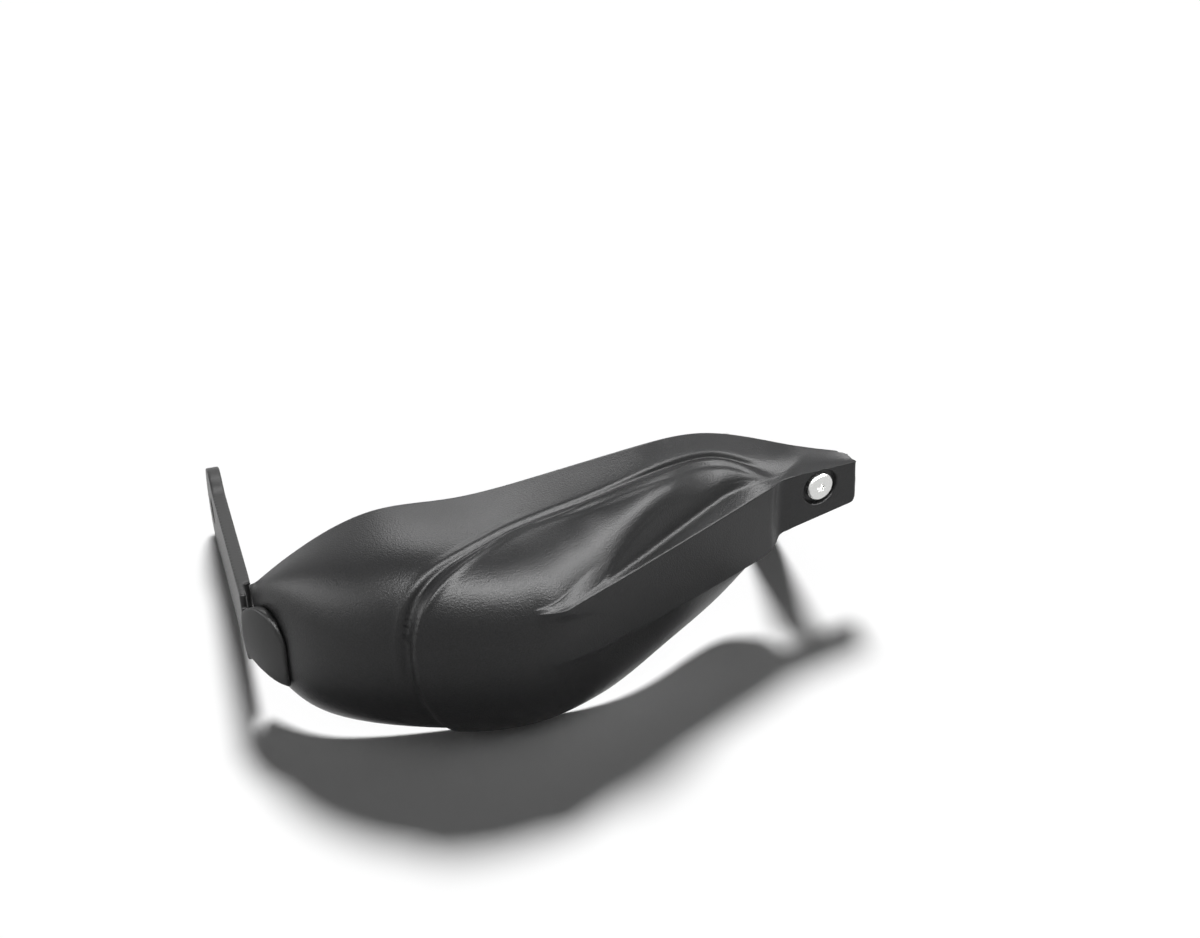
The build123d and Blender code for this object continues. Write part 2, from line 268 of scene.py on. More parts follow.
for _ in range(RIDGE_SOFTENING):
    ridge_fine[1:-1] = (ridge_fine[:-2] + 2 * ridge_fine[1:-1] + ridge_fine[2:]) / 4
ridge_line = skin(ridge_fine[:, 0], np.clip(ridge_fine[:, 1], RIDGE_LOWEST, 1))
# Signed distance to the ridge, positive on the panel
distance = np.full(U.shape, np.inf)
for a, b in zip(ridge_line[:-1], ridge_line[1:]):
    run = b - a
    share = np.clip(((plain - a) @ run) / (run @ run), 0, 1)
    distance = np.minimum(distance, np.linalg.norm(plain - a - share[..., None] * run, axis=-1))
border = np.vstack([ridge_fine, PANEL_END])
inside = np.zeros(U.shape, bool)
for (ua, ta), (ub, tb) in zip(border, np.roll(border, -1, 0)):
    if ta != tb:
        crosses = (ta > T) != (tb > T)
        inside ^= crosses & (U < (ub - ua) * (T - ta) / (tb - ta) + ua)
distance = np.where(inside, distance, -distance)

# Height of the panel over the plain face, with a crest on the ridge and a groove outside it
PANEL_LIFT = 2.4
PANEL_LOW_FADE = 0.5
STEP_HALF_WIDTH = 1.1
STEP_WIDER_AT_TAB = 0.8
STEP_WIDER_ON_DOME = 0.5
STEP_TAB_AT = 1.9
STEP_DOME_AT = 5.2
STEP_FADE = 0.6
GROOVE_DEPTH = 1.5
GROOVE_HALF = 1.5
CREST_LIP = 0.7
CREST_HALF = 1.6
CREST_LOW_AT = -0.3
CREST_LOW_FADE = 0.5
CREST_TAB_AT = 1.15
CREST_TAB_FADE = 0.4
OUTER_LIP = 0.35
OUTER_LIP_AT = 3.2
OUTER_LIP_FROM = 4.2
OUTER_LIP_FADE = 0.8
low_fade = 1 - PANEL_LOW_FADE * np.maximum(-T, 0)
wider = STEP_WIDER_AT_TAB * ease((STEP_TAB_AT - U) / STEP_FADE)
wider = wider + STEP_WIDER_ON_DOME * ease((U - STEP_DOME_AT) / STEP_FADE)
half = STEP_HALF_WIDTH * (1 + wider)
step = ease((distance + half) / (2 * half))
upper_side = ease((T - CREST_LOW_AT) / CREST_LOW_FADE) * ease((U - CREST_TAB_AT) / CREST_TAB_FADE)
crest = CREST_LIP * np.exp(-(((distance - half) / CREST_HALF) ** 2)) * upper_side
groove = GROOVE_DEPTH * np.exp(-(((distance + half + GROOVE_HALF) / GROOVE_HALF) ** 2)) * upper_side
lip = OUTER_LIP * np.exp(-(((distance + half + OUTER_LIP_AT * GROOVE_HALF) / GROOVE_HALF) ** 2))
lip = lip * ease((U - OUTER_LIP_FROM) / OUTER_LIP_FADE)
lift = PANEL_LIFT * low_fade * step + crest * step - groove + lip * upper_side
outer = plain + normal * lift[..., None]

# Blade and tab: the rows between their edges are set on flat planes, with a fine groove under the blade
BLADE_PROUD = 2.0
BLADE_STEP_IN = 1.2
BLADE_END_R = 12.0
BLADE_END_SLOPE = 16.0
BLADE_END_FADE = 26.0
TAB_ANGLE = math.radians(12.9)
TAB_HOLD_FALL = 1.5
NOTCH_BLEND = 4.0
LOW_GROOVE = 0.5
LOW_GROOVE_AT = 1.6
LOW_GROOVE_HALF = 1.3
LOW_GROOVE_FROM = 20.0
LOW_GROOVE_RISE = 20.0
LOW_GROOVE_SHORT = 20.0
LOW_GROOVE_FALL = 60.0
band = row_bands[None, :]
share = row_shares[None, :]
blade_on = np.array([-math.cos(BLADE_ANGLE), -math.sin(BLADE_ANGLE), 0])
blade_normal = np.array([math.sin(BLADE_ANGLE), -math.cos(BLADE_ANGLE), 0])
tab_on = np.array([math.cos(TAB_ANGLE), math.sin(TAB_ANGLE), 0])
tab_normal = np.array([math.sin(TAB_ANGLE), -math.cos(TAB_ANGLE), 0])
blade_gap = (NOTCH + blade_normal * BLADE_PROUD - outer) @ blade_normal
tab_gap = (NOTCH - outer) @ tab_normal
row_step = np.linalg.norm(np.diff(plain, axis=1), axis=-1)
below = np.zeros(U.shape)
first_blade_row = BAND_ROWS[0]
for j in range(first_blade_row - 1, -1, -1):
    below[:, j] = below[:, j + 1] + row_step[:, j]
hold_blade = np.where(band == 1, 1.0, 0.0) + np.where(band == 2, 1 - share, 0.0)
hold_blade = np.where(band == 0, 1 - ease(below / BLADE_STEP_IN), hold_blade)
under_top = np.maximum(blade_top(outer[..., 0]) - outer[..., 2], 0)
end_slope = BLADE_END_SLOPE + BLADE_END_FADE * ease(under_top / BLADE_END_R)
past_end = blade_run(outer[..., 0]) - (BLADE_LENGTH + BLADE_END_SLOPE / 2 - end_slope)
hold_blade = hold_blade * (1 - ease(past_end / end_slope))
to_tab = ease((outer[..., 0] - NOTCH[0] + NOTCH_BLEND) / (2 * NOTCH_BLEND))
top_share = (T - key_rows[2][:, None]) / (T_EDGE - key_rows[2][:, None])
hold_tab = np.where(band <= 1, 1.0, np.clip(1 - top_share, 0, 1) ** TAB_HOLD_FALL)
move = blade_normal * (blade_gap * hold_blade * (1 - to_tab))[..., None]
move = move + tab_normal * (tab_gap * hold_tab * to_tab)[..., None]
outer = outer + move
under_blade = LOW_GROOVE * np.exp(-(((below - LOW_GROOVE_AT) / LOW_GROOVE_HALF) ** 2))
under_blade = under_blade * np.where(band == 0, 1, 0)
run = blade_run(outer[..., 0])
under_blade = under_blade * ease((run - LOW_GROOVE_FROM) / LOW_GROOVE_RISE)
under_blade = under_blade * ease((BLADE_LENGTH - LOW_GROOVE_SHORT - run) / LOW_GROOVE_FALL)
outer = outer - normal * under_blade[..., None]

# Hollow between the blade and the ridge: a ledge, a wall and a rounded bulge, from crease to crest.
# The ledge has its depth and rise in millimetres for each run along the blade from the notch.
LEDGE_DEPTH = [(0, 6.5), (30, 7.5), (60, 6.0), (90, 3.5), (120, 0.8), (150, 0.5), (200, 0.5)]
LEDGE_RISE = [(0, 4.0), (30, 3.8), (60, 2.4), (90, 1.3), (120, 0.4), (150, 0.3), (200, 0.3)]
MOST_LEDGE = 0.5
WALL_LEAN = 1.0
MOST_LEAN = 0.1
LEAST_WALL = 0.05
MOST_WALL = 0.6
SECTION_EVENING = 16
HOLLOW_SOFTENING = 14
BULGE_SLOPE = 1.1
BULGE_NEAR = 0.8
BULGE_FAR = 3.2
BULGE_FROM = 45.0
BULGE_OVER = 55.0
BULGE_FULL_AT = 8.0
CREST_DIP = 0.45
CREST_DIP_AT = 2.4
CREST_DIP_HALF = 1.3
HOLLOW_END = 142.0
HOLLOW_FADE = 44.0
HOLLOW_ROOT = 1.12
HOLLOW_ROOT_FADE = 0.12
DOME_FROM = 1.6
DOME_OVER = 1.2
crease_row = sum(BAND_ROWS[:2])
ridge_row = sum(BAND_ROWS[:4])
crease = outer[:, crease_row]
ridge = outer[:, ridge_row]
reach = ridge - crease
along = reach @ blade_on
depth_in = -(reach @ blade_normal)
height = reach[:, 2]
run = blade_run(crease[:, 0])
most_in = np.maximum(depth_in, 0)
most_up = np.maximum(height, 0)
ledge_in = np.minimum(line(LEDGE_DEPTH)(run), MOST_LEDGE * most_in)
ledge_up = np.minimum(line(LEDGE_RISE)(run), MOST_LEDGE * most_up)
wall_in = np.minimum(WALL_LEAN, MOST_LEAN * most_in)
wall_up = height - ledge_up - BULGE_SLOPE * (depth_in - ledge_in - wall_in)
wall_up = np.clip(wall_up, LEAST_WALL * most_up, MOST_WALL * most_up)
for size in (ledge_in, ledge_up, wall_in, wall_up):
    for _ in range(SECTION_EVENING):
        size[1:-1] = (size[:-2] + 2 * size[1:-1] + size[2:]) / 4
zero = np.zeros_like(run)
corner_in = np.stack([zero, ledge_in, ledge_in + wall_in, depth_in], 1)
corner_up = np.stack([zero, ledge_up, ledge_up + wall_up, height], 1)
legs = np.hypot(np.diff(corner_in, axis=1), np.diff(corner_up, axis=1))
marks = np.concatenate([zero[:, None], np.cumsum(legs, 1)], 1)
count = ridge_row - crease_row
section_in = np.zeros((len(run), count + 1))
section_up = np.zeros((len(run), count + 1))
ways = np.linspace(0, 1, count + 1)
for i in range(len(run)):
    way = ways * marks[i, -1]
    section_in[i] = np.interp(way, marks[i], corner_in[i])
    section_up[i] = np.interp(way, marks[i], corner_up[i])
for _ in range(HOLLOW_SOFTENING):
    section_in[:, 1:-1] = (section_in[:, :-2] + 2 * section_in[:, 1:-1] + section_in[:, 2:]) / 4
    section_up[:, 1:-1] = (section_up[:, :-2] + 2 * section_up[:, 1:-1] + section_up[:, 2:]) / 4
from_ridge = (1 - ways) * marks[:, -1:]
bulge_way = np.clip(from_ridge / np.maximum(legs[:, 2:], 1e-6), 0, 1)
slope_in = (depth_in - corner_in[:, 2]) / np.maximum(legs[:, 2], 1e-6)
slope_up = (height - corner_up[:, 2]) / np.maximum(legs[:, 2], 1e-6)
bulge = BULGE_NEAR + (BULGE_FAR - BULGE_NEAR) * ease((run - BULGE_FROM) / BULGE_OVER)
dip = CREST_DIP * np.exp(-(((from_ridge - CREST_DIP_AT) / CREST_DIP_HALF) ** 2))
puff = (bulge[:, None] * np.sin(np.pi * bulge_way) - dip) * np.minimum(legs[:, 2:] / BULGE_FULL_AT, 1)
section_in = section_in - puff * slope_up[:, None]
section_up = section_up + puff * slope_in[:, None]
section = crease[:, None] + blade_on * (along[:, None] * ways)[..., None]
section = section - blade_normal * section_in[..., None] + np.array([0, 0, 1]) * section_up[..., None]
hollow_rows = slice(crease_row, ridge_row + 1)
panel_face = plain + normal * lift[..., None]
to_crease = crease - panel_face[:, crease_row]
dome = panel_face[:, hollow_rows] + to_crease[:, None] * ((1 - ways) ** 2)[None, :, None]
on_dome = ease((stations - DOME_FROM) / DOME_OVER)[:, None, None]
outer[:, hollow_rows] = outer[:, hollow_rows] * (1 - on_dome) + dome * on_dome
in_hollow = ease((HOLLOW_END - run) / HOLLOW_FADE) * ease((stations - HOLLOW_ROOT) / HOLLOW_ROOT_FADE)
hollow_share = in_hollow[:, None, None]
outer[:, hollow_rows] = outer[:, hollow_rows] * (1 - hollow_share) + section * hollow_share

# Flange on top of the tab, straight from its crease to the rim, and the tab's lower edge
FLANGE_SAG = 0.6
FLANGE_END = 0.75
FLANGE_FADE = 0.5
RIM_CORNER = 0.3
RIM_CORNER_U = 0.09
CREASE_ROWS = 5
CREASE_ROUNDING = 5
NOTCH_SOFT_AT = 1.1
NOTCH_SOFT_HALF = 0.26
NOTCH_SOFTENING = 120
TAB_ROOT_LOW = 21.6
TAB_ROOT_AT = 5.0
TAB_LOW_SLOPE = 0.1
HEEL_SLOPE = 0.31
LOW_EDGE_END = 1.4
LOW_EDGE_FADE = 0.35
flange_rows = slice(crease_row, None)
flange_way = np.linspace(0, 1, outer.shape[1] - crease_row)[None, :, None]
to_tip = np.clip(1 - (stations - stations[0]) / RIM_CORNER_U, 0, 1)
flange_way = flange_way * (1 - RIM_CORNER * (1 - np.sqrt(1 - to_tip**2)))[:, None, None]
flange = outer[:, crease_row][:, None] * (1 - flange_way) + outer[:, -1][:, None] * flange_way
flange[..., 2] -= FLANGE_SAG * np.sin(np.pi * flange_way[..., 0])
on_tab = (1 - ease((stations - FLANGE_END) / FLANGE_FADE))[:, None, None]
outer[:, flange_rows] = outer[:, flange_rows] * (1 - on_tab) + flange * on_tab
edge_rows = outer[:, crease_row - CREASE_ROWS:crease_row + CREASE_ROWS + 1]
for _ in range(CREASE_ROUNDING):
    edge_rows[:, 1:-1] = (edge_rows[:, :-2] + 2 * edge_rows[:, 1:-1] + edge_rows[:, 2:]) / 4
near_notch = np.exp(-(((stations - NOTCH_SOFT_AT) / NOTCH_SOFT_HALF) ** 2))[1:-1, None, None]
upper_rows = outer[:, crease_row:]
for _ in range(NOTCH_SOFTENING):
    mean = upper_rows[:-2, 1:-1] + upper_rows[2:, 1:-1] + upper_rows[1:-1, :-2] + upper_rows[1:-1, 2:]
    upper_rows[1:-1, 1:-1] += 0.5 * near_notch * (mean / 4 - upper_rows[1:-1, 1:-1])
low_edge = outer[:, 0]
low_s = (low_edge[:, 0] - NOTCH[0]) / math.cos(TAB_ANGLE)
low_z = TAB_ROOT_LOW + np.where(low_s > TAB_ROOT_AT, TAB_LOW_SLOPE, HEEL_SLOPE) * (low_s - TAB_ROOT_AT)
raise_low = (low_z - low_edge[:, 2]) * ease((LOW_EDGE_END - stations) / LOW_EDGE_FADE)
face_share = (outer[..., 2] - low_edge[:, None, 2]) / (outer[:, crease_row, 2] - low_edge[:, 2])[:, None]
outer[..., 2] += raise_low[:, None] * np.where(band <= 1, np.clip(1 - face_share, 0, 1), 0)

# Inner face, half as fine, and a rounded strip round the edge
WALL = 3.0
TAB_THICK = 6.0
TAB_THICK_AT = 1.0
TAB_THICK_FADE = 0.15
TAB_THIN_ABOVE = 3.0
INNER_FOLLOW = 0.3
FLANGE_TURN = 20
INNER_SOFTENING = 12
TIP_AT = 0.5
TIP_FADE = 0.3
TIP_SOFTENING = 20
EDGE_ROUND = 0.8
EDGE_PROFILE = ((0.05, 0.5), (0.18, 0.9), (0.5, 1.0), (0.82, 0.9), (0.95, 0.5))
FLOOR_GAP = 0.03
tab_body = np.where(band <= 1, 1, np.clip(1 - TAB_THIN_ABOVE * top_share, 0, 1))
thick = WALL + (TAB_THICK - WALL) * ease((TAB_THICK_AT - U) / TAB_THICK_FADE) * tab_body
follow = np.where(to_tab > 0.5, 1.0, 0.0)
mid_hollow = in_hollow[:, None] * ease(ways / INNER_FOLLOW) * ease((1 - ways) / INNER_FOLLOW)
follow[:, hollow_rows] = np.maximum(follow[:, hollow_rows], mid_hollow)
follow = np.maximum(follow, on_tab[..., 0])
follow = follow[..., None]
inner = (plain + normal * np.minimum(lift, 0)[..., None]) * (1 - follow) + outer * follow
face_normal = unit(np.cross(np.gradient(outer, axis=1), np.gradient(outer, axis=0)))
on_flange = on_tab * ease((np.arange(T.shape[1]) - crease_row) / FLANGE_TURN)[None, :, None]
inner = inner - unit(normal * (1 - on_flange) + face_normal * on_flange) * thick[..., None]
for _ in range(INNER_SOFTENING):
    mean = inner[:-2, 1:-1] + inner[2:, 1:-1] + inner[1:-1, :-2] + inner[1:-1, 2:]
    inner[1:-1, 1:-1] += 0.5 * (mean / 4 - inner[1:-1, 1:-1])
rows = T.shape[1] - 1
loop = [(i, 0) for i in range(COLUMNS)] + [(COLUMNS, j) for j in range(rows)]
loop += [(i, rows) for i in range(COLUMNS, 0, -1)] + [(0, j) for j in range(rows, 0, -1)]
loop = np.array(loop)
near_tip = ease((TIP_AT - U[loop[:, 0], loop[:, 1]]) / TIP_FADE)[:, None]
for grid in (outer, inner):
    edge = grid[loop[:, 0], loop[:, 1]]
    for _ in range(TIP_SOFTENING):
        edge += 0.5 * near_tip * ((np.roll(edge, 1, 0) + np.roll(edge, -1, 0)) / 2 - edge)
    grid[loop[:, 0], loop[:, 1]] = edge
du = unit(np.gradient(outer, axis=0))
dt = unit(np.gradient(outer, axis=1))
side_u = np.where(loop[:, 0] == 0, -1, np.where(loop[:, 0] == COLUMNS, 1, 0))
side_t = np.where(loop[:, 1] == 0, -1, np.where(loop[:, 1] == rows, 1, 0))
edge_out = unit(du[loop[:, 0], loop[:, 1]] * side_u[:, None] + dt[loop[:, 0], loop[:, 1]] * side_t[:, None])
edge_a = outer[loop[:, 0], loop[:, 1]]
edge_b = inner[loop[:, 0], loop[:, 1]]
strips = []
for through, swell in EDGE_PROFILE:
    strips.append(edge_a + (edge_b - edge_a) * through + edge_out * (EDGE_ROUND * swell))
verts = [outer.reshape(-1, 3)] + strips + [inner[::2, ::2].reshape(-1, 3)]
for layer in verts:
    layer[:, 2] = np.maximum(layer[:, 2], FLOOR + FLOOR_GAP)
starts = np.cumsum([0] + [len(v) for v in verts])
inner_start = starts[1 + len(strips)]
faces = []
width = rows + 1
for i in range(COLUMNS):
    for j in range(rows):
        a = i * width + j
        faces.append((a, a + 1, a + width + 1, a + width))
inner_width = rows // 2 + 1
for i in range(COLUMNS // 2):
    for j in range(rows // 2):
        a = inner_start + i * inner_width + j
        faces.append((a, a + inner_width, a + inner_width + 1, a + 1))
ring = len(loop)
outer_ring = loop[:, 0] * width + loop[:, 1]
rings = [outer_ring] + [starts[1 + k] + np.arange(ring) for k in range(len(strips))]
for upper, under in zip(rings[:-1], rings[1:]):
    for k in range(ring):
        m = (k + 1) % ring
        faces.append((upper[k], upper[m], under[m], under[k]))
inner_ring = inner_start + (loop[:, 0] // 2) * inner_width + loop[:, 1] // 2
last = rings[-1]
for k in range(0, ring, 2):
    middle = (k + 1) % ring
    after = (k + 2) % ring
    faces.append((last[k], last[middle], inner_ring[k]))
    faces.append((last[middle], last[after], inner_ring[after]))
    faces.append((last[middle], inner_ring[after], inner_ring[k]))


def mesh_object(name, points, polygons):
    """Piece of smooth faces from points in millimetres."""
    mesh = bpy.data.meshes.new(name)
    mesh.from_pydata((np.asarray(points) * MM).tolist(), [], [tuple(int(k) for k in f) for f in polygons])
    mesh.validate()
    work = bmesh.new()
    work.from_mesh(mesh)
    bmesh.ops.recalc_face_normals(work, faces=work.faces)
    work.to_mesh(mesh)
    work.free()
    mesh.polygons.foreach_set("use_smooth", [True] * len(mesh.polygons))
    piece = bpy.data.objects.new(name, mesh)
    bpy.context.scene.collection.objects.link(piece)
    return piece


shell = mesh_object("moulded_shell", np.vstack(verts), faces)

# Counterbored hole for the tab screw, its place measured along the tab from the notch
SCREW_ALONG = 24.4
SCREW_Z = 39.8
COUNTERBORE_R = 9.0
COUNTERBORE_DEPTH = 2.6
COUNTERBORE_BEVEL = 0.4
SCREW_HOLE_R = 3.3
HOLE_REACH = 12.0
TURNED_SIDES = 72
screw_face = NOTCH * (1, 1, 0) + tab_on * SCREW_ALONG + np.array([0, 0, SCREW_Z])


def turned(name, profile, origin, direction, sides=TURNED_SIDES, closed=False):
    """Piece turned round an axis. Each profile entry is a radius, or one for each side, and a height."""
    axis = Vector(direction).normalized()
    across = axis.cross(Vector((0, 0, 1)) if abs(axis.z) < 0.9 else Vector((1, 0, 0))).normalized()
    other = axis.cross(across)
    turn = np.arange(sides) * 2 * math.pi / sides
    spread = np.cos(turn)[:, None] * np.array(across) + np.sin(turn)[:, None] * np.array(other)
    points = []
    for radius, height in profile:
        circle = spread * np.broadcast_to(radius, sides)[:, None]
        points.append(np.array(origin) + circle + np.array(axis) * height)
    polygons = []
    count = len(profile)
    for k in range(count if closed else count - 1):
        for s in range(sides):
            n = (s + 1) % sides
            after = (k + 1) % count
            polygons.append((k * sides + s, k * sides + n, after * sides + n, after * sides + s))
    if not closed:
        polygons.append(tuple(range(sides)))
        polygons.append(tuple(range((count - 1) * sides, count * sides)))
    return mesh_object(name, np.vstack(points), polygons)


cutter = turned("screw_seat", [
    (SCREW_HOLE_R, -HOLE_REACH), (SCREW_HOLE_R, -COUNTERBORE_DEPTH), (COUNTERBORE_R, -COUNTERBORE_DEPTH),
    (COUNTERBORE_R, -COUNTERBORE_BEVEL), (COUNTERBORE_R + COUNTERBORE_BEVEL, 0),
    (COUNTERBORE_R + 3 * COUNTERBORE_BEVEL, 2 * COUNTERBORE_BEVEL),
], screw_face, tab_normal)
cut = shell.modifiers.new("screw seat", "BOOLEAN")
cut.operation = "DIFFERENCE"
cut.object = cutter
cut.solver = "EXACT"


def settle(piece):
    """Applies the piece's modifiers to its mesh."""
    bpy.context.view_layer.update()
    done = bpy.data.meshes.new_from_object(piece.evaluated_get(bpy.context.evaluated_depsgraph_get()))
    piece.modifiers.clear()
    piece.data = done
    return piece


settle(shell)
bpy.data.objects.remove(cutter)
shell.data.set_sharp_from_angle(angle=math.radians(50))


def material(name, colour, rough, metal=0.0):
    """Node material and its shader, with the plain sockets set."""
    made = bpy.data.materials.new(name)
    made.use_nodes = True
    shader = made.node_tree.nodes["Principled BSDF"]
    shader.inputs["Base Color"].default_value = (*colour, 1)
    shader.inputs["Roughness"].default_value = rough
    shader.inputs["Metallic"].default_value = metal
    return made, made.node_tree, shader


def noise(tree, size, detail):
    """Noise in the piece's own coordinates, its grains of a size in metres."""
    place = tree.nodes.new("ShaderNodeTexCoord")
    node = tree.nodes.new("ShaderNodeTexNoise")
    node.inputs["Scale"].default_value = 1 / size
    node.inputs["Detail"].default_value = detail
    tree.links.new(place.outputs["Object"], node.inputs["Vector"])
    return node.outputs["Fac"]


def ramp(tree, source, start, end):
    """Spreads the middle of a noise over a range of another value."""
    node = tree.nodes.new("ShaderNodeMapRange")
    node.inputs["From Min"].default_value = 0.3
    node.inputs["From Max"].default_value = 0.7
    node.inputs["To Min"].default_value = start
    node.inputs["To Max"].default_value = end
    tree.links.new(source, node.inputs["Value"])
    return node.outputs["Result"]


def tint(tree, source, dark, light):
    """Colour that goes from dark to light with a noise."""
    node = tree.nodes.new("ShaderNodeMix")
    node.data_type = "RGBA"
    node.inputs["A"].default_value = (*dark, 1)
    node.inputs["B"].default_value = (*light, 1)
    tree.links.new(source, node.inputs["Factor"])
    return node.outputs["Result"]


def bump(tree, shader, sources, strengths, depth):
    """Chains bumps from noises into the shader's normal, their depth in metres."""
    last = None
    for source, strength in zip(sources, strengths):
        node = tree.nodes.new("ShaderNodeBump")
        node.inputs["Strength"].default_value = strength
        node.inputs["Distance"].default_value = depth
        tree.links.new(source, node.inputs["Height"])
        if last is not None:
            tree.links.new(last, node.inputs["Normal"])
        last = node.outputs["Normal"]
    tree.links.new(last, shader.inputs["Normal"])


GRAIN = 0.0007
FINE_GRAIN = 0.00045
CLOUD = 0.03
GRAIN_BUMPS = (0.42, 0.22)
GRAIN_DEPTH = 0.0003
PLASTIC_DARK = (0.012, 0.012, 0.0125)
PLASTIC_LIGHT = (0.03, 0.03, 0.031)
PLASTIC_ROUGH = (0.31, 0.37)
plastic, tree, shader = material("grained_black_plastic", (0.02, 0.02, 0.021), 0.45)
shader.inputs["Specular IOR Level"].default_value = 0.2
grain = noise(tree, GRAIN, detail=2.0)
fine_grain = noise(tree, FINE_GRAIN, detail=2.0)
cloud = noise(tree, CLOUD, detail=3.0)
tree.links.new(tint(tree, grain, PLASTIC_DARK, PLASTIC_LIGHT), shader.inputs["Base Color"])
tree.links.new(ramp(tree, cloud, *PLASTIC_ROUGH), shader.inputs["Roughness"])
bump(tree, shader, (grain, fine_grain), GRAIN_BUMPS, GRAIN_DEPTH)
shell.data.materials.clear()
shell.data.materials.append(plastic)
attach(shell, "root")
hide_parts("guard_shell")

# Bar-end arm
# A die-cast strap with a dished face, an eye for the bar-end bolt and a foot shaped to the shell's end.
# Aluminium with a satin black coat; its cast edges are rounded all over.
ARM_VOXEL = 0.0005
ARM_SOFTENING = 10
FOOT_FROM = -98.0
FOOT_FADE = 10.0
FOOT_SOFTENING = 24


def rounded_copy(node, name, voxel, passes):
    """Piece with the node's form and softened edges, as casting and coating leave them."""
    piece = bpy.data.objects.new(name, frame["nodes"][node].data.copy())
    bpy.context.scene.collection.objects.link(piece)
    weld = piece.modifiers.new("weld", "WELD")
    weld.merge_threshold = 1e-6
    grid = piece.modifiers.new("grid", "REMESH")
    grid.mode = "VOXEL"
    grid.voxel_size = voxel
    soften = piece.modifiers.new("soften", "SMOOTH")
    soften.factor = 0.5
    soften.iterations = passes
    settle(piece)
    piece.data.polygons.foreach_set("use_smooth", [True] * len(piece.data.polygons))
    piece.data.materials.clear()
    return piece


arm = rounded_copy("bar_end_arm", "cast_arm", ARM_VOXEL, ARM_SOFTENING)
rearward = np.array([v.co.y for v in arm.data.vertices]) / MM
foot_weights = ease((FOOT_FROM - rearward) / FOOT_FADE)
foot = arm.vertex_groups.new(name="foot")
for index in np.nonzero(foot_weights > 0)[0]:
    foot.add([int(index)], float(foot_weights[index]), "REPLACE")
flow = arm.modifiers.new("flow", "SMOOTH")
flow.factor = 0.5
flow.iterations = FOOT_SOFTENING
flow.vertex_group = "foot"
settle(arm)
arm.vertex_groups.clear()


def speckled(name, colour, dark, light, rough, polish, speckle, detail, relief, depth, metal=0.0, gloss=0.5):
    """Finish whose colour, polish and relief follow one speckle, its size and depth in metres."""
    made, tree, shader = material(name, colour, rough, metal)
    shader.inputs["Specular IOR Level"].default_value = gloss
    spots = noise(tree, speckle, detail)
    tree.links.new(tint(tree, spots, dark, light), shader.inputs["Base Color"])
    tree.links.new(ramp(tree, spots, *polish), shader.inputs["Roughness"])
    bump(tree, shader, (spots,), (relief,), depth)
    return made


coat = speckled("satin_black_coat", colour=(0.022, 0.022, 0.022), dark=(0.016, 0.016, 0.016),
                light=(0.03, 0.03, 0.03), rough=0.42, polish=(0.36, 0.46), speckle=0.0008, detail=2.0,
                relief=0.25, depth=0.0002, gloss=0.2)
arm.data.materials.append(coat)
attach(arm, "root")
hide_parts("bar_end_arm")

# Clamp bracket
# A bent steel strip with a pressed bead round its bend and a welded threaded bush behind the tab.
# Powder coated in satin black after welding.
BRACKET_VOXEL = 0.00042
BRACKET_SOFTENING = 7
bracket = rounded_copy("clamp_bracket", "bent_bracket", BRACKET_VOXEL, BRACKET_SOFTENING)
powder = speckled("black_powder_coat", colour=(0.02, 0.02, 0.02), dark=(0.014, 0.014, 0.014),
                  light=(0.028, 0.028, 0.028), rough=0.38, polish=(0.3, 0.42), speckle=0.0016, detail=2.0,
                  relief=0.3, depth=0.00025, gloss=0.22)
bracket.data.materials.append(powder)
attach(bracket, "root")
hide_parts("clamp_bracket")

# Tab screw
# A flanged button-head screw in satin stainless steel with a six-lobe socket.
# It goes through the counterbore of the tab into the bush of the bracket.
HEAD_R = 6.8
HEAD_H = 3.4
LOBES = 6
LOBE_R = 1.75
LOBE_WAVE = 0.28
SOCKET_DEPTH = 1.7
SOCKET_CONE = 0.3
SHANK_R = 2.95
SHANK_TIP = 0.6
TAB_SCREW_REACH = 19.4
POINT_R = 0.05
CONE_SHARE = 0.6
SEAT_EDGE = 0.2
# Edges in pairs: how far out from the socket, or in from the rim, and how far down from the face
SOCKET_EDGE = ((0.0, 0.25), (0.12, 0.06), (0.3, 0.0))
HEAD_EDGE = ((1.0, 0.0), (0.7, 0.1), (0.15, 0.8), (0.0, 1.05))
turn = np.arange(TURNED_SIDES) * 2 * math.pi / TURNED_SIDES
lobes = LOBE_R + LOBE_WAVE * np.cos(LOBES * turn)
socket_floor = HEAD_H - SOCKET_DEPTH
head_seat = screw_face - tab_normal * COUNTERBORE_DEPTH
screw_rings = [(POINT_R, socket_floor - SOCKET_CONE)]
screw_rings += [(lobes * CONE_SHARE, socket_floor), (lobes, socket_floor)]
screw_rings += [(lobes + out, HEAD_H - down) for out, down in SOCKET_EDGE]
screw_rings += [(HEAD_R - back, HEAD_H - down) for back, down in HEAD_EDGE]
screw_rings += [(HEAD_R, SEAT_EDGE), (HEAD_R - SEAT_EDGE, 0.0), (SHANK_R, 0.0)]
screw_rings += [(SHANK_R, -TAB_SCREW_REACH + SHANK_TIP), (SHANK_R - SHANK_TIP, -TAB_SCREW_REACH)]
tab_screw = turned("tab_button_screw", screw_rings, head_seat, tab_normal)
tab_screw.data.set_sharp_from_angle(angle=math.radians(40))
steel = speckled("satin_stainless", colour=(0.6, 0.6, 0.59), dark=(0.5, 0.5, 0.49),
                 light=(0.72, 0.72, 0.71), rough=0.24, polish=(0.18, 0.28), speckle=0.0006, detail=3.0,
                 relief=0.12, depth=0.0001, metal=1.0)
tab_screw.data.materials.append(steel)
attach(tab_screw, "root")
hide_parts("tab_screw")

